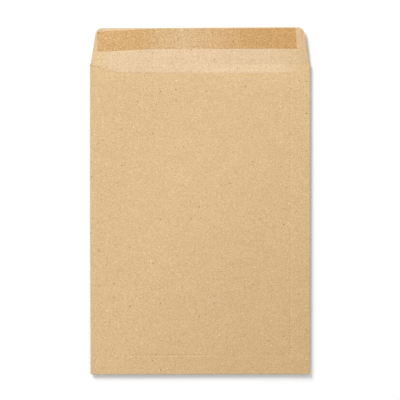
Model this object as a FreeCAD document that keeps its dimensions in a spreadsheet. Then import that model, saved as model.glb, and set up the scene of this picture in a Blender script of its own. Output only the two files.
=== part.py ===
import FreeCAD, Part
import math
import os

import Sketcher

# A gummed pocket envelope of C4 size. One sheet of buff paper is folded round into a pocket: the
# front panel lies underneath, the back panel over it, the side seam flap is glued over the back
# panel's free edge, and the bottom flap is glued over both. The closure flap is open and flat, with
# its gum strip up.
#
# Millimetres. X runs across the envelope and Y from its closed end to its closure flap, +Z is up.
# The origin is the middle of the outline, on the surface that the envelope lies on. The bodies are
# drawn with the score line of the closure flap on Y = 0, and their Placement moves them there.

# Driving dimensions
SIZES = [
    ("paper", 0.13, "thickness of the sheet"),
    ("pocket_width", 229, "side fold to side fold"),
    ("pocket_length", 322.5, "bottom fold to score line"),
    ("pocket_gap", 0.6, "air between front and back panel beside the folds"),
    ("rise_height", 5, "how far the back panel of the empty pocket springs up"),
    ("rise_start", 40, "side fold to the middle of the bend where the back panel starts to rise"),
    ("crown_width", 40, "width between the middles of the bends where the rise ends"),
    ("bend_reach", 11, "how far each of those bends reaches to either side of its middle"),
    ("closed_length", 26, "bottom fold to where the back panel starts to rise"),
    ("opening_run", 90, "length in which the back panel rises"),
    ("tuck_clearance", 0.4, "tucked cut edge to the fold that it sits in"),
    ("side_flap_width", 21.3, "right fold to the side seam flap's free edge"),
    ("bottom_flap_height", 20.3, "bottom fold to the bottom flap's free edge"),
    ("bottom_flap_inset", 6.6, "side fold to the bottom flap's corner at its free edge"),
    ("corner_relief", 0.9, "side fold to the bottom fold's end"),
    ("step_run", 1.6, "length in which the bottom flap climbs onto the side seam flap"),
    ("throat_depth", 9, "score line to the mouth's edge"),
    ("throat_left_run", 31, "left fold to where the mouth's edge is level"),
    ("throat_right_run", 22, "right fold to where the mouth's edge is level"),
    ("throat_radius", 40, "rounding where the mouth's edge levels out"),
    ("flap_height", 38, "score line to the closure flap's free edge"),
    ("flap_left_inset", 0.5, "left fold to the closure flap at the score line"),
    ("flap_right_inset", 1.3, "right fold to the closure flap at the score line"),
    ("flap_taper_run", 5.8, "how far each side of the closure flap leans in"),
    ("flap_corner_radius", 6.5, "rounding of the closure flap's corners"),
    ("score_width", 0.7, "width of the score line's groove"),
    ("score_depth", 0.04, "depth of the score line's groove"),
    ("gum_film", 0.03, "thickness of the dried gum"),
    ("gum_height", 21, "height of the gum strip"),
    ("gum_edge_margin", 0.3, "gum strip to the closure flap's free edge"),
    ("gum_left_margin", 7.8, "left fold to the gum strip"),
    ("gum_right_margin", 14, "right fold to the gum strip's nearest corner"),
    ("gum_droop", 3.4, "how far the gum strip's left end hangs below its level part"),
    ("gum_droop_run", 75, "length in which the gum strip levels out"),
    ("gum_end_lean", 1.6, "how far the gum strip's right end leans"),
    ("glue_film", 0.03, "thickness of the dried seam glue"),
    ("glue_margin", 3, "flap's free edge to its glue line"),
    ("side_glue_width", 12, "width of the side seam's glue line"),
    ("bottom_glue_width", 11, "width of the bottom flap's glue line"),
]

# Heights above the table and places along the sheet, as expressions on the sheet of sizes
HALF_WIDTH = "(Sizes.pocket_width / 2)"
BACK_TOP = "(2 * Sizes.paper + Sizes.pocket_gap)"
SIDE_FLAP_TOP = f"({BACK_TOP} + Sizes.glue_film + Sizes.paper)"
BOTTOM_FLAP_TOP = f"({SIDE_FLAP_TOP} + Sizes.glue_film + Sizes.paper)"
LEFT_BEND = f"({BACK_TOP} / 2)"
RIGHT_BEND = f"({SIDE_FLAP_TOP} / 2)"
TUBE_LENGTH = f"(Sizes.pocket_length - {BOTTOM_FLAP_TOP} / 2 - Sizes.tuck_clearance)"
CLOSED_PLACE = "(Sizes.pocket_length - Sizes.closed_length)"
OPENED_PLACE = f"({CLOSED_PLACE} - Sizes.opening_run)"
BACK_EDGE = f"({HALF_WIDTH} - {RIGHT_BEND} - Sizes.tuck_clearance)"
SIDE_FLAP_EDGE = f"({HALF_WIDTH} - Sizes.side_flap_width)"
STEP_START = f"({SIDE_FLAP_EDGE} - Sizes.step_run)"
BOTTOM_END = "(-Sizes.pocket_length)"
BOTTOM_FLAP_EDGE = f"({BOTTOM_END} + Sizes.bottom_flap_height)"

RISE_RUN = f"({HALF_WIDTH} - Sizes.rise_start - Sizes.crown_width / 2)"
RISE_SLOPE_LENGTH = f"sqrt({RISE_RUN} ^ 2 + Sizes.rise_height ^ 2)"
RISE_RADIUS = f"(Sizes.bend_reach * Sizes.rise_height / ({RISE_SLOPE_LENGTH} - {RISE_RUN}))"

# How far a cutting outline runs past what it cuts
OVERCUT = 2

# Which way the half circle of a fold bulges in a section
FOLD_LEFT, FOLD_RIGHT = "fold left", "fold right"
FOLDS = (FOLD_LEFT, FOLD_RIGHT)

# The sketcher's numbers for the points of a curve, and for the sketch's own origin
START, END, CENTRE = 1, 2, 3
SKETCH_ORIGIN = (-1, 1)

doc = FreeCAD.newDocument("paper_envelope")


def add_sizes():
    """The sheet that holds the driving dimensions."""
    sheet = doc.addObject("Spreadsheet::Sheet", "Sizes")
    for row, (alias, value, note) in enumerate(SIZES, start=1):
        sheet.set(f"A{row}", note)
        sheet.set(f"B{row}", str(value))
        sheet.setAlias(f"B{row}", alias)
    doc.recompute()


def add_body(label):
    """A body whose score line lies where the middle of the whole outline is the origin."""
    body = doc.addObject("PartDesign::Body", label)
    body.Label = label
    body.setExpression("Placement.Base.y", "(Sizes.pocket_length - Sizes.flap_height) / 2")
    return body


def add_sketch(body, name, role, offset):
    """A sketch on one of the body's own origin planes, moved along its normal by offset."""
    sketch = body.newObject("Sketcher::SketchObject", name)
    plane = next(p for p in body.Origin.OriginFeatures if p.Role == role)
    sketch.AttachmentSupport = [(plane, "")]
    sketch.MapMode = "FlatFace"
    sketch.setExpression("AttachmentOffset.Base.z", offset)
    return sketch


def add_arc(sketch, centre, first, last):
    """An arc of the sketch that runs anticlockwise round centre from first to last."""
    start, end = (math.atan2(p.y - centre.y, p.x - centre.x) for p in (first, last))
    circle = Part.Circle(centre, FreeCAD.Vector(0, 0, 1), centre.distanceToPoint(first))
    return sketch.addGeometry(Part.ArcOfCircle(circle, start, end))


def draw_outline(sketch, corners):
    """Draws a closed outline, anticlockwise, with every corner and radius bound to the sizes.

    A corner is (x, y), or (x, y, radius) where it is rounded, or (x, y, FOLD_LEFT or FOLD_RIGHT)
    where a half circle leads from it to the next corner, which lies straight above or below it.
    """
    spots = [FreeCAD.Vector(*(sketch.evalExpression(f"1.0 * {e}") for e in c[:2])) for c in corners]
    count = len(corners)
    entries = list(spots)
    exits = list(spots)
    bends = {}
    for i, corner in enumerate(corners):
        if len(corner) == 3 and corner[2] not in FOLDS:
            bends[i], entries[i], exits[i] = round_corner(
                sketch, spots[i - 1], spots[i], spots[(i + 1) % count], corner[2]
            )

    # the stretch that leads from each corner to the next one
    stretches = []
    for i, corner in enumerate(corners):
        start, end = exits[i], entries[(i + 1) % count]
        if corner[-1] in FOLDS:
            low, high = sorted((start, end), key=lambda spot: spot.y)
            ends = (low, high) if corner[-1] == FOLD_RIGHT else (high, low)
            half_circle = add_arc(sketch, (start + end) / 2, *ends)
            sketch.addConstraint(Sketcher.Constraint("Vertical", half_circle, CENTRE, half_circle, START))
            stretches.append(half_circle)
        else:
            stretches.append(sketch.addGeometry(Part.LineSegment(start, end)))

    for i, corner in enumerate(corners):
        x, y = corner[:2]
        incoming, leaving = stretches[i - 1], stretches[i]
        if i in bends:
            join(sketch, "Tangent", incoming, bends[i], entries[i])
            join(sketch, "Tangent", bends[i], leaving, exits[i])
            bind(sketch, corner[2], "Radius", bends[i])
            corner_point = sketch.addGeometry(Part.Point(spots[i]), True)
            sketch.addConstraint(Sketcher.Constraint("PointOnObject", corner_point, START, incoming))
            sketch.addConstraint(Sketcher.Constraint("PointOnObject", corner_point, START, leaving))
            place(sketch, x, y, corner_point, START)
        else:
            join(sketch, "Coincident", incoming, leaving, spots[i])
            place(sketch, x, y, leaving, end_at(sketch, leaving, spots[i]))


def round_corner(sketch, before, corner, after, radius_expression):
    """The arc that rounds a corner, with the points where the outline enters and leaves it."""
    radius = sketch.evalExpression(radius_expression)
    back = (before - corner).normalize()
    ahead = (after - corner).normalize()
    half_angle = back.getAngle(ahead) / 2
    entry = corner + back * (radius / math.tan(half_angle))
    leave = corner + ahead * (radius / math.tan(half_angle))
    centre = corner + (back + ahead).normalize() * (radius / math.sin(half_angle))
    turns_left = back.cross(ahead).z < 0
    ends = (entry, leave) if turns_left else (leave, entry)
    return add_arc(sketch, centre, *ends), entry, leave


def end_at(sketch, curve, spot):
    """Which end of a curve lies at a spot."""
    return min((START, END), key=lambda end: sketch.getPoint(curve, end).distanceToPoint(spot))


def join(sketch, kind, first, second, spot):
    """Joins two curves where both have an end at a spot."""
    ends = end_at(sketch, first, spot), end_at(sketch, second, spot)
    sketch.addConstraint(Sketcher.Constraint(kind, first, ends[0], second, ends[1]))


def bind(sketch, expression, *constraint):
    """Adds a dimension whose value is an expression on the sizes."""
    value = sketch.evalExpression(f"1.0 * {expression}")
    index = sketch.addConstraint(Sketcher.Constraint(*constraint, value))
    sketch.setExpression(f"Constraints[{index}]", expression)


def place(sketch, x, y, curve, end):
    """Binds the place of a curve's end, measured from the sketch's origin."""
    bind(sketch, x, "DistanceX", *SKETCH_ORIGIN, curve, end)
    bind(sketch, y, "DistanceY", *SKETCH_ORIGIN, curve, end)


def add_pad(body, sketch, length, reverse=False):
    """The sketch's outline, raised along its normal, or against it if reversed."""
    pad = body.newObject("PartDesign::Pad", f"{sketch.Name}_pad")
    pad.Profile = sketch
    pad.setExpression("Length", length)
    pad.Reversed = reverse
    return pad


def add_upward_cut(body, sketch):
    """Cuts away all that the body has above the sketch's outline."""
    cut = body.newObject("PartDesign::Pocket", f"{sketch.Name}_cut")
    cut.Profile = sketch
    cut.Type = "ThroughAll"
    cut.Reversed = True
    return cut


def add_run(body, name, first, first_length, second, second_length):
    """Raises two sketches away from each other, and lofts straight from one to the other."""
    add_pad(body, first, first_length, reverse=True)
    loft = body.newObject("PartDesign::AdditiveLoft", name)
    loft.Profile = first
    loft.Sections = [second]
    loft.Ruled = True
    add_pad(body, second, second_length)


def add_stepped_strip(body, name, draw_section, left, right):
    """A strip along X under or in the bottom flap: low on the back panel, high on the side seam flap.

    draw_section draws the strip's section for the height of the surface that the strip lies on. The
    strip climbs just short of the side seam flap's free edge.
    """
    low = add_sketch(body, f"{name}_low", "YZ_Plane", STEP_START)
    draw_section(low, BACK_TOP)
    high = add_sketch(body, f"{name}_high", "YZ_Plane", SIDE_FLAP_EDGE)
    draw_section(high, SIDE_FLAP_TOP)
    add_run(body, f"{name}_step", low, f"{STEP_START} - {left}", high, f"{right} - {SIDE_FLAP_EDGE}")


def back_panel_line(height, sprung):
    """Corners along one face of the back panel, left to right: sprung up in the middle, or flat."""
    foot = f"({HALF_WIDTH} - Sizes.rise_start)"
    crown = "(Sizes.crown_width / 2)"
    raised = f"({height} + Sizes.rise_height)"
    places = [(f"(-{foot})", height), (f"(-{crown})", raised), (crown, raised), (foot, height)]
    if sprung:
        return [(x, z, RISE_RADIUS) for x, z in places]
    return [(f"({x} {way} Sizes.bend_reach)", height) for x, z in places for way in "-+"]


def draw_tube_section(sketch, sprung):
    """Front panel, left fold, back panel, right fold and side seam flap, cut across."""
    left = f"({LEFT_BEND} - {HALF_WIDTH})"
    right = f"({HALF_WIDTH} - {RIGHT_BEND})"
    back_underside = f"({BACK_TOP} - Sizes.paper)"
    side_flap_underside = f"({SIDE_FLAP_TOP} - Sizes.paper)"
    draw_outline(
        sketch,
        [
            (left, "0"),
            (right, "0", FOLD_RIGHT),
            (right, SIDE_FLAP_TOP),
            (SIDE_FLAP_EDGE, SIDE_FLAP_TOP),
            (SIDE_FLAP_EDGE, side_flap_underside),
            (right, side_flap_underside, FOLD_RIGHT),
            (right, "Sizes.paper"),
            (left, "Sizes.paper", FOLD_LEFT),
            (left, back_underside),
            *back_panel_line(back_underside, sprung),
            (BACK_EDGE, back_underside),
            (BACK_EDGE, BACK_TOP),
            *back_panel_line(BACK_TOP, sprung)[::-1],
            (left, BACK_TOP, FOLD_LEFT),
        ],
    )


def add_tube(body):
    """The sheet once round: flat at the closed end, and sprung open from there to the mouth."""
    closed = add_sketch(body, "tube_closed", "XZ_Plane", CLOSED_PLACE)
    draw_tube_section(closed, sprung=False)
    opened = add_sketch(body, "tube_opened", "XZ_Plane", OPENED_PLACE)
    draw_tube_section(opened, sprung=True)
    add_run(body, "tube_opening", opened, OPENED_PLACE, closed, f"{TUBE_LENGTH} - {CLOSED_PLACE}")


def cut_throat(body):
    """The mouth: back panel and side seam flap are cut back from the score line."""
    throat = add_sketch(body, "throat", "XY_Plane", LEFT_BEND)
    mouth = "(-Sizes.throat_depth)"
    draw_outline(
        throat,
        [
            (f"(-{HALF_WIDTH})", "0"),
            (f"(Sizes.throat_left_run - {HALF_WIDTH})", mouth, "Sizes.throat_radius"),
            (f"({HALF_WIDTH} - Sizes.throat_right_run)", mouth, "Sizes.throat_radius"),
            (HALF_WIDTH, "0"),
            (f"({HALF_WIDTH} + {OVERCUT})", str(OVERCUT)),
            (f"(-{HALF_WIDTH} - {OVERCUT})", str(OVERCUT)),
        ],
    )
    add_upward_cut(body, throat)


def add_closure_flap(body):
    """The closure flap, open and flat, which carries on from the front panel."""
    flap = add_sketch(body, "closure_flap", "XY_Plane", "0")
    left = f"(Sizes.flap_left_inset - {HALF_WIDTH})"
    right = f"({HALF_WIDTH} - Sizes.flap_right_inset)"
    draw_outline(
        flap,
        [
            (left, "0"),
            (right, "0"),
            (f"({right} - Sizes.flap_taper_run)", "Sizes.flap_height", "Sizes.flap_corner_radius"),
            (f"({left} + Sizes.flap_taper_run)", "Sizes.flap_height", "Sizes.flap_corner_radius"),
        ],
    )
    add_pad(body, flap, "Sizes.paper")


def cut_score_line(body):
    """The groove that the closure flap folds at."""
    score = add_sketch(body, "score_line", "YZ_Plane", "0")
    draw_outline(
        score,
        [
            ("0", "(Sizes.paper - Sizes.score_depth)"),
            ("(Sizes.score_width / 2)", "Sizes.paper"),
            ("(-Sizes.score_width / 2)", "Sizes.paper"),
        ],
    )
    groove = body.newObject("PartDesign::Pocket", "score_line_cut")
    groove.Profile = score
    groove.Type = "ThroughAll"
    groove.Midplane = True


def draw_bottom_flap_section(sketch, underside):
    """The end of the front panel, the bottom fold and the bottom flap on a surface at underside."""
    top = f"({underside} + Sizes.glue_film + Sizes.paper)"
    fold = f"({BOTTOM_END} + {top} / 2)"
    draw_outline(
        sketch,
        [
            (fold, "0"),
            (f"(-{TUBE_LENGTH})", "0"),
            (f"(-{TUBE_LENGTH})", "Sizes.paper"),
            (fold, "Sizes.paper", FOLD_LEFT),
            (fold, f"({top} - Sizes.paper)"),
            (BOTTOM_FLAP_EDGE, f"({top} - Sizes.paper)"),
            (BOTTOM_FLAP_EDGE, top),
            (fold, top, FOLD_LEFT),
        ],
    )


def cut_bottom_flap_end(body, name, side, height):
    """Slants one end of the bottom flap, above height. The side is -1 for left and 1 for right."""
    end = add_sketch(body, name, "XY_Plane", height)
    foot = f"({side} * ({HALF_WIDTH} - Sizes.corner_relief))"
    tip = f"({side} * ({HALF_WIDTH} - Sizes.bottom_flap_inset))"
    outside = f"({side} * ({HALF_WIDTH} + {OVERCUT}))"
    below = f"({BOTTOM_END} - {OVERCUT})"
    above = f"({BOTTOM_FLAP_EDGE} + {OVERCUT})"
    corners = [
        (foot, below),
        (outside, below),
        (outside, above),
        (tip, above),
        (tip, BOTTOM_FLAP_EDGE),
        (foot, BOTTOM_END),
    ]
    draw_outline(end, corners if side > 0 else corners[::-1])
    add_upward_cut(body, end)


def build_paper_sheet():
    """The folded sheet."""
    body = add_body("paper_sheet")
    add_tube(body)
    cut_throat(body)
    add_closure_flap(body)
    cut_score_line(body)
    fold_end = f"({HALF_WIDTH} - Sizes.corner_relief)"
    add_stepped_strip(body, "bottom_flap", draw_bottom_flap_section, f"(-{fold_end})", fold_end)
    cut_bottom_flap_end(body, "bottom_flap_left_end", -1, f"({BACK_TOP} + Sizes.glue_film / 2)")
    cut_bottom_flap_end(body, "bottom_flap_right_end", 1, f"({SIDE_FLAP_TOP} + Sizes.glue_film / 2)")
    return body


def build_gum_strip():
    """The dried gum on the closure flap: level on the right, drooping towards its left end."""
    body = add_body("gum_strip")
    strip = add_sketch(body, "gum_outline", "XY_Plane", "Sizes.paper")
    left = f"(Sizes.gum_left_margin - {HALF_WIDTH})"
    bend = f"({left} + Sizes.gum_droop_run)"
    right = f"({HALF_WIDTH} - Sizes.gum_right_margin)"
    top = "(Sizes.flap_height - Sizes.gum_edge_margin)"
    bottom = f"({top} - Sizes.gum_height)"
    draw_outline(
        strip,
        [
            (left, f"({bottom} - Sizes.gum_droop)"),
            (bend, bottom),
            (right, bottom),
            (f"({right} - Sizes.gum_end_lean)", top),
            (bend, top),
            (left, f"({top} - Sizes.gum_droop)"),
        ],
    )
    add_pad(body, strip, "Sizes.gum_film")
    return body


def build_side_seam_glue():
    """The glue line between the back panel and the side seam flap."""
    body = add_body("side_seam_glue")
    line = add_sketch(body, "side_glue_outline", "XY_Plane", BACK_TOP)
    left = f"({SIDE_FLAP_EDGE} + Sizes.glue_margin)"
    right = f"({left} + Sizes.side_glue_width)"
    top = "(-Sizes.throat_depth - Sizes.glue_margin)"
    bottom = f"(Sizes.glue_margin - {TUBE_LENGTH})"
    draw_outline(line, [(left, bottom), (right, bottom), (right, top), (left, top)])
    add_pad(body, line, "Sizes.glue_film")
    return body


def draw_bottom_glue_section(sketch, underside):
    """The glue line under the bottom flap, on a surface at underside."""
    upper = f"({BOTTOM_FLAP_EDGE} - Sizes.glue_margin)"
    lower = f"({upper} - Sizes.bottom_glue_width)"
    top = f"({underside} + Sizes.glue_film)"
    draw_outline(sketch, [(lower, underside), (upper, underside), (upper, top), (lower, top)])


def build_bottom_seam_glue():
    """The glue line under the bottom flap. It climbs onto the side seam flap with it."""
    body = add_body("bottom_seam_glue")
    end = f"({HALF_WIDTH} - Sizes.bottom_flap_inset - Sizes.glue_margin)"
    add_stepped_strip(body, "bottom_glue", draw_bottom_glue_section, f"(-{end})", end)
    return body


def check_build(bodies):
    """Stops if any feature failed, if a cut cut nothing or if a piece isn't one sound solid."""
    for item in doc.Objects:
        if "Invalid" in item.State or "Error" in item.State:
            raise RuntimeError(f"{item.Label} failed to build")
        if item.TypeId == "PartDesign::Pocket" and item.Shape.Volume >= item.BaseFeature.Shape.Volume:
            raise RuntimeError(f"{item.Label} cuts nothing")
    for body in bodies:
        shape = body.Shape
        if shape.isNull() or not shape.isValid() or len(shape.Solids) != 1:
            raise RuntimeError(f"{body.Label} isn't one sound solid")


add_sizes()
pieces = [
    build_paper_sheet(),
    build_gum_strip(),
    build_side_seam_glue(),
    build_bottom_seam_glue(),
]
doc.recompute()
check_build(pieces)
os.makedirs("parts", exist_ok=True)
for piece in pieces:
    piece.Shape.exportStep(f"parts/{piece.Label}.step")
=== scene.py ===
import math

import bpy
import numpy as np
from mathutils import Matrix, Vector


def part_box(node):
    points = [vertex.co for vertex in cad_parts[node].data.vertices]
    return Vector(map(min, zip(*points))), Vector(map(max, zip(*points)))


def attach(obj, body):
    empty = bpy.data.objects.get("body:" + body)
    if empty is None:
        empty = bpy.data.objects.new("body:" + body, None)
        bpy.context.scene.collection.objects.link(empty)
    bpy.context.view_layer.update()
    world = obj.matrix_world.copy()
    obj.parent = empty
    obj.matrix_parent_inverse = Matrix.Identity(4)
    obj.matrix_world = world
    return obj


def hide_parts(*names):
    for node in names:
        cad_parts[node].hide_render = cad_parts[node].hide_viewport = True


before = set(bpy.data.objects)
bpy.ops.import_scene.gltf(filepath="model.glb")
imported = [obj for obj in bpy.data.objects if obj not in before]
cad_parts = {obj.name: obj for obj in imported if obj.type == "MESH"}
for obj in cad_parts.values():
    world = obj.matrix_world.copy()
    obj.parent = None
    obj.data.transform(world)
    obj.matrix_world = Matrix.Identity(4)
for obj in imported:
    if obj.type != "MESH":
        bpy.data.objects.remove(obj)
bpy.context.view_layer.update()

# A gummed pocket envelope of buff paper. It lies with its seam side up and its closure flap open.
# Metres, in the frame's axes: X across the envelope, Y towards the closure flap, Z up. The whole
# sheet is one mesh with the paper's own thickness. Its columns run round the pocket, from the back
# panel's free edge to the side seam flap's free edge. Its rows run from the bottom flap's free edge,
# round the bottom fold and up the front panel to the closure flap's top.

MM = 0.001

# The sheet, from the frame
sheet_low, sheet_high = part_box("paper_sheet")
HALF_WIDTH = (sheet_high[0] - sheet_low[0]) / 2
BOTTOM_FOLD = sheet_low[1]
FLAP_TOP = sheet_high[1]

# Sizes of the sheet's parts. Some differ from those of the solids, to match the photo more closely
PAPER = 0.13 * MM
GLUE_FILM = 0.03 * MM
POCKET_GAP = 0.6 * MM
TUCK_CLEARANCE = 0.4 * MM
CREASE = 0.15 * MM
SIDE_FLAP_WIDTH = 20.7 * MM
BOTTOM_FLAP_HEIGHT = 19.6 * MM
BOTTOM_FLAP_INSET = 6.6 * MM
CORNER_RELIEF = 0.9 * MM
STEP_RUN = 1.6 * MM
THROAT_DEPTH = 9.4 * MM
THROAT_START = 1.5 * MM
THROAT_LEFT_RUN = 27 * MM
THROAT_RIGHT_RUN = 18 * MM
THROAT_EASE = 0.16
FLAP_HEIGHT = 38 * MM
FLAP_LEFT_INSET = 0.5 * MM
FLAP_RIGHT_INSET = 1.3 * MM
FLAP_TAPER_RUN = 5.8 * MM
FLAP_CORNER = 6.0 * MM
FLAP_NOTCH = 1.4 * MM
GUM_START = 16 * MM
GUM_WIDTH = 21.3 * MM
GUM_DROOP = 4.0 * MM
GUM_LEFT_SPREAD = 0.6 * MM
GUM_RIGHT_TAPER = 1.6 * MM

# How the paper lies: the folds' height over the table, the closure flap's at its left and how much
# more it is at its right, the back panel's over its folds in mid-pocket and at the mouth, and the
# forms pressed into the paper
PILLOW = 2.05 * MM
PILLOW_RUN = 45 * MM
FLAP_LEFT_RISE = 0.3 * MM
FLAP_TILT = 3.25 * MM
SPRING_RISE = 2.0 * MM
SPRING_RUN = 220 * MM
MOUTH_RISE = -0.8 * MM
MOUTH_ROLL = 0.45 * MM
MOUTH_ROLL_RUN = 16 * MM
MOUTH_ARCH = 0.5 * MM
MOUTH_ARCH_REACH = 12 * MM
WAVE_BASE = 0.1 * MM
WAVE_HEIGHT = 0.03 * MM
SCORE_DEPTH = 0.04 * MM
SCORE_REACH = 0.7 * MM
SEAM_PRESS = 0.19 * MM
SHOULDER_PRESS = 0.27 * MM

# Steps of the grid, and how far the closer columns reach from the side seam flap's free edge
COLUMN_STEP = 4.6 * MM
ROW_STEP = 4.4 * MM
FLAP_ROW_STEP = 2.8 * MM
FINE_STEP = 0.3 * MM
FOLD_STEPS = 10
FOLD_SUPPORT = 0.12 * MM
SEAM_REACH = 3.0 * MM

# Heights of the flat layers and places of their edges
SCORE_LINE = FLAP_TOP - FLAP_HEIGHT
BACK_TOP = 2 * PAPER + POCKET_GAP
SIDE_FLAP_TOP = BACK_TOP + GLUE_FILM + PAPER
BOTTOM_FLAP_HIGH = SIDE_FLAP_TOP + GLUE_FILM + PAPER
LEFT_BEND = BACK_TOP / 2
RIGHT_BEND = SIDE_FLAP_TOP / 2
LEFT_END = CREASE - HALF_WIDTH
RIGHT_END = HALF_WIDTH - CREASE
BACK_EDGE = RIGHT_END - TUCK_CLEARANCE
SIDE_FLAP_EDGE = HALF_WIDTH - SIDE_FLAP_WIDTH
SEAM_CENTRE = SIDE_FLAP_EDGE + 0.3 * MM
TUBE_END = BOTTOM_FOLD + BOTTOM_FLAP_HIGH / 2 + TUCK_CLEARANCE
BOTTOM_FLAP_EDGE = BOTTOM_FOLD + BOTTOM_FLAP_HEIGHT
MOUTH_ROWS = SCORE_LINE - 60 * MM


def ease(value, start, end):
    """Climbs smoothly from 0 at start to 1 at end."""
    share = np.clip((value - start) / (end - start), 0.0, 1.0)
    return share * share * (3.0 - 2.0 * share)


def dip(distance, width, width_beyond=None):
    """A smooth bump of height 1 that ends at width to either side, or at width_beyond past 0."""
    beyond = width if width_beyond is None else width_beyond
    return 1.0 - ease(-distance, 0.0, width) - ease(distance, 0.0, beyond)


# Outlines

def throat(x):
    """Where the mouth's edge lies along the pocket, for a place across it: level in the middle,
    with a rounded turn into the climb towards either fold."""
    share = np.minimum((x + HALF_WIDTH) / THROAT_LEFT_RUN, (HALF_WIDTH - x) / THROAT_RIGHT_RUN)
    rounded = 1.0 - THROAT_EASE * np.log1p(np.exp((1.0 - share) / THROAT_EASE))
    start = 1.0 - THROAT_EASE * math.log1p(math.exp(1.0 / THROAT_EASE))
    fall = np.clip((rounded - start) / (1.0 - start), 0.0, 1.0)
    return SCORE_LINE - THROAT_START - (THROAT_DEPTH - THROAT_START) * fall


def closure_flap_ends(y):
    """The closure flap's two ends at a height: a small notch, a taper and a rounded top corner."""
    taper = FLAP_TAPER_RUN * (y - SCORE_LINE) / FLAP_HEIGHT
    from_top = np.clip(FLAP_CORNER - (FLAP_TOP - y), 0.0, FLAP_CORNER)
    corner = FLAP_CORNER - np.sqrt(FLAP_CORNER**2 - from_top**2)
    notch = ease(y, SCORE_LINE, SCORE_LINE + FLAP_NOTCH)
    left_inset = LEFT_BEND + (FLAP_LEFT_INSET - LEFT_BEND) * notch
    right_inset = RIGHT_BEND + (FLAP_RIGHT_INSET - RIGHT_BEND) * notch
    return left_inset + taper + corner - HALF_WIDTH, HALF_WIDTH - right_inset - taper - corner


def bottom_flap_half(y):
    """Half the bottom flap's width: its ends taper from the fold to its free edge."""
    taper = (BOTTOM_FLAP_INSET - CORNER_RELIEF) / BOTTOM_FLAP_HEIGHT
    return HALF_WIDTH - CORNER_RELIEF - taper * (y - BOTTOM_FOLD)


# How the paper lies: heights over the flat sheet

def waves(x, y):
    """The slight unevenness of the whole sheet."""
    across = np.sin(x / (23 * MM) + 1.3 * np.sin(y / (61 * MM)) + 0.4)
    along = np.sin(y / (31 * MM) + 0.9 * np.sin(x / (47 * MM)) + 2.0)
    return WAVE_BASE + WAVE_HEIGHT * (across + along)


def mouth_arch(x, y):
    """The low arch of the front panel in the mouth, highest to the right of the middle."""
    share = ease(x, -50 * MM, 30 * MM) * (1.0 - ease(x, 62 * MM, 106 * MM))
    return MOUTH_ARCH * share * dip(y - SCORE_LINE + MOUTH_ARCH_REACH, MOUTH_ARCH_REACH)


def shoulder_crease(x, y):
    """The depth of the short crease that follows the mouth's edge away from the left fold."""
    near_fold = 1.0 - ease(x, 10 * MM - HALF_WIDTH, 28 * MM - HALF_WIDTH)
    return SHOULDER_PRESS * near_fold * dip(y - throat(x) - 0.3 * MM, 0.9 * MM)


def score_groove(y):
    """The depth of the groove along the score line."""
    return SCORE_DEPTH * dip(y - SCORE_LINE, SCORE_REACH)


def front_lie(x, y):
    """Height of the front panel and the closure flap over the table. The empty pocket rests on
    its middle, so its folds stand off the table, and the flap rises a little to its right."""
    from_side = ease(np.abs(x), 0.4 * HALF_WIDTH, HALF_WIDTH)
    from_foot = ease(BOTTOM_FOLD + PILLOW_RUN - y, 0.0, PILLOW_RUN)
    panel = PILLOW * (1.0 - (1.0 - from_side) * (1.0 - from_foot))
    flap = FLAP_LEFT_RISE + FLAP_TILT * ease(x, -0.2 * HALF_WIDTH, HALF_WIDTH)
    up = np.clip((y - SCORE_LINE) / FLAP_HEIGHT, 0.0, 1.0)
    lie = panel + (flap - panel) * up**0.9 + waves(x, y) * (1.0 - from_foot)
    return lie + mouth_arch(x, y) - shoulder_crease(x, y)


def back_lie(x, y):
    """Height of the back panel over where it would lie flat. It springs up in the middle of the
    pocket and comes down again to the mouth, where it rolls in a little."""
    across = 1.0 - ease(np.abs(x), 0.0, HALF_WIDTH - 18 * MM)
    along = np.sin(np.clip((y - BOTTOM_FOLD) / SPRING_RUN, 0.0, 1.0) * math.pi / 2)
    to_mouth = ease(y, -60 * MM, SCORE_LINE - THROAT_DEPTH)
    rise = SPRING_RISE + (MOUTH_RISE - SPRING_RISE) * to_mouth
    to_rim = np.clip((y - throat(x)) / MOUTH_ROLL_RUN + 1.0, 0.0, 1.0)
    roll = MOUTH_ROLL * to_rim**2 * ease(HALF_WIDTH - np.abs(x), 0.0, 8 * MM)
    return PILLOW + across * along * rise + waves(x, y) * along - roll


def seam_press(x, y):
    """The fine lines pressed into every layer there, along the free edges of the two glued flaps
    and along the bottom flap's ends. The side seam flap's is fainter under the bottom flap and
    deeper low down, and the bottom flap's is deepest left of the middle."""
    on_panel = ease(y, BOTTOM_FLAP_EDGE - 2 * MM, BOTTOM_FLAP_EDGE)
    low_down = ease(-y, 100 * MM, 125 * MM)
    side_share = 0.2 + (0.5 + 0.3 * low_down) * on_panel
    side = side_share * dip(x - SIDE_FLAP_EDGE - 0.2 * MM, 0.65 * MM, 2.8 * MM)
    foot_share = 1.0 - 0.8 * ease(np.abs(x + 27 * MM), 26 * MM, 58 * MM)
    foot = foot_share * dip(y - BOTTOM_FLAP_EDGE, 1.1 * MM)
    ends_share = 0.7 * ease(BOTTOM_FLAP_EDGE - y, 0.0, 3 * MM) * ease(y - BOTTOM_FOLD, 1 * MM, 4 * MM)
    left_end = dip(x + bottom_flap_half(y) - 0.4 * MM, 0.8 * MM, 1.5 * MM)
    right_end = dip(x - bottom_flap_half(y) - 0.8 * MM, 0.8 * MM, 1.5 * MM)
    ends = ends_share * np.maximum(left_end, right_end)
    return -SEAM_PRESS * np.maximum(np.maximum(side, foot), ends)


def bottom_flap_top(x):
    """The bottom flap's outer face: it steps up over the side seam flap's free edge."""
    step = ease(x, SIDE_FLAP_EDGE - STEP_RUN, SIDE_FLAP_EDGE)
    return SIDE_FLAP_TOP + (BOTTOM_FLAP_HIGH - SIDE_FLAP_TOP) * step


# Meshes

def spaced(start, end, step):
    """Evenly spaced values from start to end, both included."""
    return np.linspace(start, end, max(2, round(abs(end - start) / step) + 1))


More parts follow.
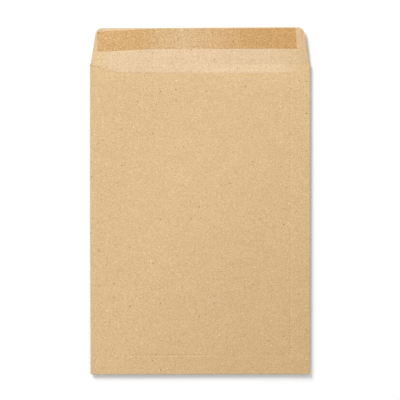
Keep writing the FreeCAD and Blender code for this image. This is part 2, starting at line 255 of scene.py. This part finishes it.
def finer(values, centre, reach, step):
    """The rising values, with closer ones in the stretch round centre."""
    kept = values[np.abs(values - centre) > reach + step / 2]
    return np.sort(np.concatenate([kept, spaced(centre - reach, centre + reach, step)]))


def finer_at_side_flap(values):
    """Closer values across the side seam flap's free edge."""
    return finer(values, SEAM_CENTRE, SEAM_REACH, FINE_STEP)


def finer_at_bottom_flap(values):
    """Closer values across the bottom flap's free edge."""
    return finer(values, BOTTOM_FLAP_EDGE, 1.5 * MM, FINE_STEP)


def beside_folds(values):
    """The rising values, with one more close to either end, which keeps the folds' shading crisp."""
    first, last = values[:1], values[-1:]
    return np.concatenate([first, first + FOLD_SUPPORT, values[1:-1], last - FOLD_SUPPORT, last])


def triples(x, y, z):
    return np.stack(np.broadcast_arrays(x, y, z), axis=-1)


def sheet_points(x, y, z):
    """Points of the sheet, with the small irregularities of its cut and folds. The four shifts are
    in millimetres."""
    right = ease(x, -HALF_WIDTH, HALF_WIDTH)
    down = ease(SCORE_LINE - y, 0.0, SCORE_LINE - BOTTOM_FOLD)
    on_flap = ease(y, SCORE_LINE - 2 * MM, SCORE_LINE + 3 * MM)
    left_shift = 0.22 + 0.13 * down + 0.4 * down**4 + 0.25 * on_flap
    right_shift = -0.25 - 0.1 * down + 0.55 * on_flap
    top_shift = (0.65 * right - 0.35) * ease(y, SCORE_LINE, FLAP_TOP)
    foot_shift = (0.18 + 0.4 * right) * ease(-y, 0.0, -BOTTOM_FOLD)
    across_shift = left_shift + (right_shift - left_shift) * right
    return triples(x + across_shift * MM, y + (top_shift + foot_shift) * MM, z)


def solid_sheet(name, middle, half_thickness, present, materials):
    """A closed mesh round a grid of points. half_thickness is the step from the middle to the
    outer face, and present says which of the grid's cells are there. The inner face takes the last
    of the materials."""
    rows, columns = middle.shape[:2]
    count = rows * columns
    outer_face, inner_face = middle + half_thickness, middle - half_thickness
    points = np.concatenate([outer_face.reshape(-1, 3), inner_face.reshape(-1, 3)])
    index = np.arange(count).reshape(rows, columns)
    faces = []
    for row, column in np.argwhere(present):
        near, right = index[row, column], index[row, column + 1]
        far_right, far = index[row + 1, column + 1], index[row + 1, column]
        faces.append((near, far, far_right, right))
        faces.append((near + count, right + count, far_right + count, far + count))
        sides = (
            (column == 0 or not present[row, column - 1], near, far),
            (row == rows - 2 or not present[row + 1, column], far, far_right),
            (column == columns - 2 or not present[row, column + 1], far_right, right),
            (row == 0 or not present[row - 1, column], right, near),
        )
        for is_edge, first, second in sides:
            if is_edge:
                faces.append((second, first, first + count, second + count))
    used, numbers = np.unique(np.array(faces), return_inverse=True)
    mesh = bpy.data.meshes.new(name)
    mesh.from_pydata(points[used].tolist(), [], numbers.reshape(-1, 4).tolist())
    mesh.update()
    shade_by_angle(mesh)
    for material in materials:
        mesh.materials.append(material)
    is_inner = (np.array(faces) >= count).all(axis=1)
    mesh.polygons.foreach_set("material_index", is_inner * (len(materials) - 1))
    piece = bpy.data.objects.new(name, mesh)
    bpy.context.scene.collection.objects.link(piece)
    return piece


def shade_by_angle(mesh):
    """Smooth shading, with the cut edges of the paper kept sharp."""
    mesh.polygons.foreach_set("use_smooth", [True] * len(mesh.polygons))
    mesh.set_sharp_from_angle(angle=math.radians(40))


# Columns round the pocket: place across, height and outward direction

def fold_turn(radius, side):
    """Columns round a fold from the front panel up: places, heights and outward directions. The
    crease is sharper across than it is high."""
    turn = np.linspace(0.0, math.pi, FOLD_STEPS + 1)[1:-1]
    out_x, out_z = side * np.sin(turn), -np.cos(turn)
    x = side * (HALF_WIDTH - CREASE) + (CREASE - PAPER / 2) * out_x
    return x, radius + (radius - PAPER / 2) * out_z, out_x, out_z


def flat_run(x, height, out_z):
    """Columns of a flat layer, which faces straight up or down."""
    same = np.ones(len(x))
    return x, height * same, 0.0 * same, out_z * same


# The layers share their places across and along, so that none cuts through the next
all_places = finer_at_side_flap(spaced(LEFT_END, RIGHT_END, COLUMN_STEP))
for side in (-1, 1):
    all_places = finer(all_places, side * (HALF_WIDTH - 4.1 * MM), 3.6 * MM, FINE_STEP)
front_places = beside_folds(all_places)
back_places = np.append(front_places[front_places < BACK_EDGE - 0.05 * MM], BACK_EDGE)
side_places = front_places[front_places > SIDE_FLAP_EDGE - 0.01 * MM]
BACK_RUN, FRONT_RUN, SIDE_RUN = 0, 2, 4
runs = (
    flat_run(back_places[::-1], BACK_TOP - PAPER / 2, 1.0),
    [part[::-1] for part in fold_turn(LEFT_BEND, -1)],
    flat_run(front_places, PAPER / 2, -1.0),
    fold_turn(RIGHT_BEND, 1),
    flat_run(side_places[::-1], SIDE_FLAP_TOP - PAPER / 2, 1.0),
)
column_x, column_z, column_out_x, column_out_z = (np.concatenate(part) for part in zip(*runs))
column_run = np.concatenate([np.full(len(run[0]), number) for number, run in enumerate(runs)])
is_front = column_run == FRONT_RUN
is_glued_layer = (column_run == BACK_RUN) | (column_run == SIDE_RUN)
back_share = (1.0 + column_out_z) / 2

# Rows along the pocket, closure flap and bottom flap
all_rows = spaced(BOTTOM_FOLD + CREASE, SCORE_LINE, ROW_STEP)
all_rows = finer(all_rows, BOTTOM_FOLD + 10 * MM, 9 * MM, 1.0 * MM)
all_rows = finer(finer_at_bottom_flap(all_rows), SCORE_LINE - 3 * MM, 3 * MM, 0.5 * MM)
pocket_rows = np.append(TUBE_END, all_rows[all_rows > TUBE_END + 0.2 * MM])
seam_rows = beside_folds(all_rows[all_rows < BOTTOM_FLAP_EDGE + 0.01 * MM])[:0:-1]
flap_rows = finer(spaced(SCORE_LINE, FLAP_TOP, FLAP_ROW_STEP), SCORE_LINE + 1.0 * MM, 1.0 * MM, 0.4 * MM)
flap_rows = finer(flap_rows, FLAP_TOP - FLAP_CORNER / 2, FLAP_CORNER / 2, 0.35 * MM)[1:]
fold_rows = np.linspace(math.pi, 0.0, FOLD_STEPS + 1)


def pocket_part():
    """The rows that every column has. Above MOUTH_ROWS they close up towards the mouth's edge."""
    mouth_edge = throat(column_x) + THROAT_START * (1.0 - back_share)
    top = np.where(is_front, SCORE_LINE, mouth_edge)
    stretch = (top - MOUTH_ROWS) / (SCORE_LINE - MOUTH_ROWS)
    row = pocket_rows[:, None]
    y = np.where(row < MOUTH_ROWS, row, MOUTH_ROWS + (row - MOUTH_ROWS) * stretch)
    x = np.broadcast_to(column_x, y.shape)
    z = column_z + front_lie(x, y) * (1.0 - back_share) + back_lie(x, y) * back_share
    z = z + np.where(is_glued_layer, seam_press(x, y), 0.0)
    z = z - np.where(is_front, score_groove(y), 0.0)
    return sheet_points(x, y, z), triples(column_out_x + 0 * y, 0.0, column_out_z)


def closure_flap_part():
    """The rows beyond the score line, of the front panel's columns only."""
    y = flap_rows[:, None] + 0 * column_x
    left, right = closure_flap_ends(y)
    x = left + (right - left) * (column_x - LEFT_END) / (RIGHT_END - LEFT_END)
    z = PAPER / 2 + front_lie(x, y) - score_groove(y)
    return sheet_points(x, y, z), triples(0 * y, 0.0, -1.0)


def bottom_flap_x(y):
    """Where the front panel's columns lie in the bottom flap: closer together towards its ends."""
    kept = SEAM_CENTRE + SEAM_REACH
    share = np.clip((np.abs(column_x) - kept) / (RIGHT_END - kept), 0.0, 1.0)
    return np.sign(column_x) * (np.minimum(np.abs(column_x), kept) + (bottom_flap_half(y) - kept) * share)


def bottom_flap_part():
    """The bottom flap's rows from its free edge down, then those round the bottom fold."""
    y = seam_rows[:, None] + 0 * column_x
    x = bottom_flap_x(y)
    z = bottom_flap_top(x) - PAPER / 2 + back_lie(x, y) + seam_press(x, y)
    flap, flap_out = sheet_points(x, y, z), triples(0 * y, 0.0, 1.0)
    turn = fold_rows[:, None] + 0 * column_x
    x = bottom_flap_x(BOTTOM_FOLD + 0 * turn)
    radius = bottom_flap_top(x) / 2
    y = BOTTOM_FOLD + CREASE - (CREASE - PAPER / 2) * np.sin(turn)
    z = radius - (radius - PAPER / 2) * np.cos(turn) + PILLOW
    fold, fold_out = sheet_points(x, y, z), triples(0 * y, -np.sin(turn), -np.cos(turn))
    return np.concatenate([flap, fold]), np.concatenate([flap_out, fold_out])


def build_sheet(materials):
    """The whole sheet. Only the front panel's columns go on into the two flaps beyond the tube."""
    parts = bottom_flap_part(), pocket_part(), closure_flap_part()
    middle = np.concatenate([part[0] for part in parts])
    outward = np.concatenate([part[1] for part in parts])
    first_row = len(parts[0][0])
    last_row = first_row + len(parts[1][0]) - 1
    present = np.ones((len(middle) - 1, len(column_x) - 1), dtype=bool)
    beyond_front = ~(is_front[:-1] & is_front[1:])
    present[:first_row, beyond_front] = False
    present[last_row:, beyond_front] = False
    return solid_sheet("envelope_sheet", middle, outward * PAPER / 2, present, materials)


# Films: the gum strip and the two seam glue lines

def film(name, x, y, bottom, top, material):
    """A thin closed slab over a grid of places, between two heights."""
    middle = sheet_points(x, y, (bottom + top) / 2)
    half = triples(0 * x, 0.0, (top - bottom) / 2)
    present = np.ones((middle.shape[0] - 1, middle.shape[1] - 1), dtype=bool)
    return solid_sheet(name, middle, -half, present, [material])


def build_gum(material):
    """The gum strip: level along the flap's top, drooping towards its left end."""
    low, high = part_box("gum_strip")
    across = spaced(0.0, 1.0, 1 / 110)[None, :]
    up = spaced(0.0, 1.0, 1 / 12)[:, None]
    left = low[0] - GUM_LEFT_SPREAD
    x = left + (high[0] - left - GUM_RIGHT_TAPER * up) * across
    droop = GUM_DROOP * (1.0 - ease(x, left - 30 * MM, -20 * MM)) ** 1.4
    y = SCORE_LINE + GUM_START - droop + GUM_WIDTH * up
    bottom = PAPER + front_lie(x, y)
    return film("dried_gum_strip", x, y, bottom, bottom + GLUE_FILM, material)


def build_side_glue(material):
    """The glue line between the back panel and the side seam flap."""
    low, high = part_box("side_seam_glue")
    x = spaced(low[0], high[0], 2 * MM)[None, :]
    y = finer_at_bottom_flap(spaced(low[1], high[1], 4 * MM))[:, None] + 0 * x
    bottom = BACK_TOP + back_lie(x, y) + seam_press(x, y)
    return film("side_seam_glue_line", x + 0 * y, y, bottom, bottom + GLUE_FILM, material)


def build_bottom_glue(material):
    """The glue line under the bottom flap, which steps up with it."""
    low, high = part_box("bottom_seam_glue")
    y = spaced(low[1], high[1], 1.0 * MM)[:, None]
    x = finer_at_side_flap(spaced(low[0], high[0], 4 * MM))[None, :] + 0 * y
    y = y + 0 * x
    top = bottom_flap_top(x) - PAPER + back_lie(x, y) + seam_press(x, y)
    return film("bottom_seam_glue_line", x, y, top - GLUE_FILM, top, material)


# Materials

# The buff paper at the top left and at the bottom right: the step between them is painted shade, darker
# away from the lamp
PAPER_PAINTED_LIT = (0.664, 0.464, 0.252, 1)
PAPER_PAINTED_SHADED = (0.597, 0.403, 0.204, 1)
# How much paler the paper's inner face is: partly its own lighter tone, partly painted sheen
INNER_FACE_AND_SHEEN_TINT = (1.10, 1.16, 1.32)
GRAIN_TINT = (0.77, 1.0, 1.28)
PALE_SPOT = (1.0, 0.87, 0.64, 1)
DARK_SPOT = (0.13, 0.075, 0.04, 1)
RUST_SPOT = (0.42, 0.23, 0.09, 1)
# The gum at its left and right ends: the left's paler tone is painted sheen
GUM_LEFT_WITH_SHEEN = (0.616, 0.379, 0.168, 1)
GUM_RIGHT = (0.588, 0.340, 0.133, 1)
GUM_THIN = (0.665, 0.462, 0.262, 1)
GLUE_PALE = (0.8, 0.74, 0.62, 1)
GLUE_DARK = (0.7, 0.62, 0.48, 1)
FLOOR_WHITE = (0.98, 0.98, 0.98, 1)


class Nodes:
    """Adds nodes to a material and links them."""

    def __init__(self, name):
        self.material = bpy.data.materials.new(name)
        self.material.use_nodes = True
        self.tree = self.material.node_tree
        self.shader = self.tree.nodes["Principled BSDF"]
        self.place = self.tree.nodes.new("ShaderNodeTexCoord").outputs["Object"]

    def add(self, kind, inputs=None, **settings):
        node = self.tree.nodes.new(kind)
        for key, value in settings.items():
            setattr(node, key, value)
        for key, value in (inputs or {}).items():
            self.put(value, node.inputs[key])
        return node

    def put(self, value, socket):
        if isinstance(value, bpy.types.NodeSocket):
            self.tree.links.new(value, socket)
        else:
            socket.default_value = value

    def axis(self, letter):
        """The place along one axis, in metres."""
        return self.add("ShaderNodeSeparateXYZ", {0: self.place}).outputs[letter]

    def scaled(self, x, y):
        """Places on the flat sheet in units of the given lengths. They all have one height, halfway
        between the noise's own levels, where it is strongest."""
        values = {"Vector": self.place, "Location": (0.0, 0.0, 0.5), "Scale": (1 / x, 1 / y, 0.0)}
        return self.add("ShaderNodeMapping", values).outputs["Vector"]

    def noise(self, x, y, detail):
        """Cloudy noise whose patches are about x by y in size."""
        values = {"Vector": self.scaled(x, y), "Scale": 1.0, "Detail": detail, "Roughness": 0.5}
        return self.add("ShaderNodeTexNoise", values).outputs["Fac"]

    def math(self, operation, first, second):
        return self.add("ShaderNodeMath", {0: first, 1: second}, operation=operation).outputs[0]

    def remap(self, value, low, high, to_low=0.0, to_high=1.0):
        values = {"Value": value, "From Min": low, "From Max": high, "To Min": to_low, "To Max": to_high}
        return self.add("ShaderNodeMapRange", values).outputs["Result"]

    def mix(self, share, first, second):
        node = self.add("ShaderNodeMix", data_type="RGBA")
        self.put(share, node.inputs[0])
        self.put(first, node.inputs[6])
        self.put(second, node.inputs[7])
        return node.outputs[2]

    def product(self, first, second):
        return self.add("ShaderNodeVectorMath", {0: first, 1: second}, operation="MULTIPLY").outputs[0]

    def bell(self, place, start, middle, end):
        """0 at the start, 1 in the middle and 0 at the end."""
        return self.math("MULTIPLY", self.remap(place, start, middle), self.remap(place, end, middle))

    def grained(self, colour, pattern, low, high, amount):
        """The colour, darker and browner where the pattern is low and paler where it is high."""
        tint = [amount * part for part in GRAIN_TINT]
        darker, paler = [1 - part for part in tint] + [1], [1 + part for part in tint] + [1]
        return self.product(colour, self.mix(self.remap(pattern, low, high), darker, paler))

    def specks(self, cell, radius, keep, seed):
        """Sparse small spots of differing strength: up to 1 inside a spot and 0 outside. Each cell
        of the pattern has one spot at most, and keep is the share of the cells that have one."""
        shifted = self.add("ShaderNodeVectorMath", {0: self.scaled(cell, cell), 1: (seed, seed, 0.0)})
        values = {"Vector": shifted.outputs[0], "Scale": 1.0}
        spots = self.add("ShaderNodeTexVoronoi", values, voronoi_dimensions="2D")
        near = self.remap(spots.outputs["Distance"], radius / cell, 0.6 * radius / cell)
        chance = self.add("ShaderNodeSeparateColor", {0: spots.outputs["Color"]}).outputs[0]
        is_kept = self.math("GREATER_THAN", chance, 1 - keep)
        strength = self.math("MULTIPLY", is_kept, self.remap(chance, 1 - keep, 1, 0.3, 1.0))
        return self.math("MULTIPLY", near, strength)

    def spotted(self, colour, spot_colour, cell, radius, keep, seed, strength=1.0):
        share = self.math("MULTIPLY", self.specks(cell, radius, keep, seed), strength)
        return self.mix(share, colour, spot_colour)

    def relief(self, height, strength):
        """Bumps of up to 0.03 mm in the surface."""
        bump = self.add("ShaderNodeBump", {"Height": height, "Strength": strength, "Distance": 0.03 * MM})
        self.put(bump.outputs["Normal"], self.shader.inputs["Normal"])

    def finished(self, colour, roughness, specular):
        """The material, with its colour and how it shines."""
        self.put(colour, self.shader.inputs["Base Color"])
        self.put(roughness, self.shader.inputs["Roughness"])
        self.put(specular, self.shader.inputs["Specular IOR Level"])
        return self.material


def buff_with_painted_shade(nodes):
    """Buff, with painted shade: a little darker from the top left to the bottom right, away from the
    lamp.
    """
    diagonal = nodes.math("SUBTRACT", nodes.axis("X"), nodes.axis("Y"))
    # Painted shade: darker towards the bottom right
    painted_shade_to_corner = nodes.math("POWER", nodes.remap(diagonal, -0.03, 0.29), 1.6)
    return nodes.mix(painted_shade_to_corner, PAPER_PAINTED_LIT, PAPER_PAINTED_SHADED)


def finished_paper(nodes, colour):
    """Dull recycled paper: a fine grain, stray fibres, soft clouds and sparse spots."""
    grain = nodes.noise(0.62 * MM, 0.58 * MM, detail=1.0)
    fibres = nodes.noise(3.2 * MM, 0.4 * MM, detail=2.0)
    clouds = nodes.noise(16 * MM, 9 * MM, detail=3.0)
    colour = nodes.grained(colour, grain, 0.25, 0.75, amount=0.3)
    colour = nodes.grained(colour, fibres, 0.3, 0.7, amount=0.05)
    colour = nodes.grained(colour, clouds, 0.3, 0.7, amount=0.02)
    colour = nodes.spotted(colour, DARK_SPOT, 8 * MM, 0.7 * MM, keep=0.07, seed=3.1)
    colour = nodes.spotted(colour, RUST_SPOT, 4 * MM, 0.6 * MM, keep=0.17, seed=21.4, strength=0.75)
    colour = nodes.spotted(colour, PALE_SPOT, 9 * MM, 0.6 * MM, keep=0.08, seed=7.7)
    nodes.relief(nodes.math("ADD", grain, fibres), 0.3)
    return nodes.finished(colour, roughness=0.8, specular=0.15)


# The outer face: buff with painted shade, darker towards the bottom right
def make_outer_face():
    nodes = Nodes("buff_paper")
    return finished_paper(nodes, buff_with_painted_shade(nodes))


def make_inner_face():
    """The paper's other face is paler, partly from its own lighter tone and partly from painted sheen
    of the lamp, apart from the ends of the closure flap, which keep the outer face's buff."""
    nodes = Nodes("buff_paper_inside_with_sheen")
    across = nodes.axis("X")
    past_left_end = nodes.remap(across, -0.118, -0.090)
    before_right_end = nodes.remap(across, 0.114, 0.071)
    # Where the inner face takes its paler tone and painted sheen
    pale_and_sheen_share = nodes.math("MULTIPLY", past_left_end, before_right_end)
    buff = buff_with_painted_shade(nodes)
    return finished_paper(nodes, nodes.mix(pale_and_sheen_share, buff, nodes.product(buff, INNER_FACE_AND_SHEEN_TINT)))


def make_gum():
    """Remoistenable gum, dried to an amber film. It is thinner and paler left of the middle, and painted
    sheen makes it paler towards its left end.
    """
    nodes = Nodes("dried_gum")
    across = nodes.axis("X")
    # Painted sheen: paler towards the left end
    colour = nodes.mix(nodes.remap(across, -0.10, 0.10), GUM_LEFT_WITH_SHEEN, GUM_RIGHT)
    thin = nodes.bell(across, -0.065, -0.018, 0.05)
    colour = nodes.mix(nodes.math("MULTIPLY", thin, 0.85), colour, GUM_THIN)
    grain = nodes.noise(0.66 * MM, 0.62 * MM, detail=1.0)
    streaks = nodes.noise(14 * MM, 0.8 * MM, detail=2.0)
    colour = nodes.grained(colour, grain, 0.25, 0.75, amount=0.48)
    colour = nodes.grained(colour, streaks, 0.3, 0.7, amount=0.03)
    colour = nodes.spotted(colour, RUST_SPOT, 3.6 * MM, 0.6 * MM, keep=0.22, seed=12.3, strength=0.8)
    nodes.relief(nodes.math("ADD", grain, streaks), 0.25)
    return nodes.finished(colour, roughness=nodes.remap(streaks, 0.3, 0.7, 0.55, 0.65), specular=0.15)


def make_glue():
    nodes = Nodes("seam_glue")
    blotches = nodes.noise(6 * MM, 6 * MM, detail=3.0)
    return nodes.finished(nodes.mix(blotches, GLUE_PALE, GLUE_DARK), roughness=0.5, specular=0.5)


paper_faces = [make_outer_face(), make_inner_face()]
gum = make_gum()
glue = make_glue()
PIECES = (
    (build_sheet(paper_faces), "paper_sheet", "buff_paper"),
    (build_gum(gum), "gum_strip", "dried_gum"),
    (build_side_glue(glue), "side_seam_glue", "seam_glue"),
    (build_bottom_glue(glue), "bottom_seam_glue", "seam_glue"),
)
for piece, node, slot in PIECES:
    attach(piece, "root")
    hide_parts(node)


# Floor, light and camera

def make_floor():
    """A white floor, far wider than what the camera sees."""
    reach = 6.0
    corners = [(-reach, -reach, 0), (reach, -reach, 0), (reach, reach, 0), (-reach, reach, 0)]
    mesh = bpy.data.meshes.new("floor")
    mesh.from_pydata(corners, [], [(0, 1, 2, 3)])
    mesh.materials.append(Nodes("white_floor").finished(FLOOR_WHITE, roughness=0.9, specular=0.0))
    floor = bpy.data.objects.new("floor", mesh)
    bpy.context.scene.collection.objects.link(floor)
    return floor


def make_world():
    """A white sky, which the camera sees brighter than it lights the envelope."""
    world = bpy.data.worlds.new("studio")
    world.use_nodes = True
    tree = world.node_tree
    background = tree.nodes["Background"]
    background.inputs["Color"].default_value = (1, 1, 1, 1)
    path = tree.nodes.new("ShaderNodeLightPath")
    strength = tree.nodes.new("ShaderNodeMapRange")
    tree.links.new(path.outputs["Is Camera Ray"], strength.inputs["Value"])
    strength.inputs["To Min"].default_value = 0.62
    strength.inputs["To Max"].default_value = 1.0
    tree.links.new(strength.outputs["Result"], background.inputs["Strength"])
    bpy.context.scene.world = world


def make_lamp():
    """One broad lamp from the top left, low enough for the envelope's thin shadow."""
    azimuth = math.radians(123)
    elevation = math.radians(27)
    distance = 4.5
    light = bpy.data.lights.new("key", "AREA")
    light.shape = "DISK"
    light.size = 2.1
    light.energy = 216.0
    lamp = bpy.data.objects.new("key", light)
    flat = distance * math.cos(elevation)
    lamp.location = (flat * math.cos(azimuth), flat * math.sin(azimuth), distance * math.sin(elevation))
    lamp.rotation_euler = (math.pi / 2 - elevation, 0, azimuth + math.pi / 2)
    bpy.context.scene.collection.objects.link(lamp)


def make_camera():
    """Straight above, far enough for a nearly parallel view of a square of the seen width."""
    height = 4.0
    seen_width = 0.416
    data = bpy.data.cameras.new("camera")
    data.sensor_width = 36.0
    data.lens = data.sensor_width * height / seen_width
    camera = bpy.data.objects.new("camera", data)
    camera.location = (0.08 * MM, 1.13 * MM, height)
    bpy.context.scene.collection.objects.link(camera)
    bpy.context.scene.camera = camera


make_floor()
make_world()
make_lamp()
make_camera()
bpy.context.scene.view_settings.view_transform = "Standard"
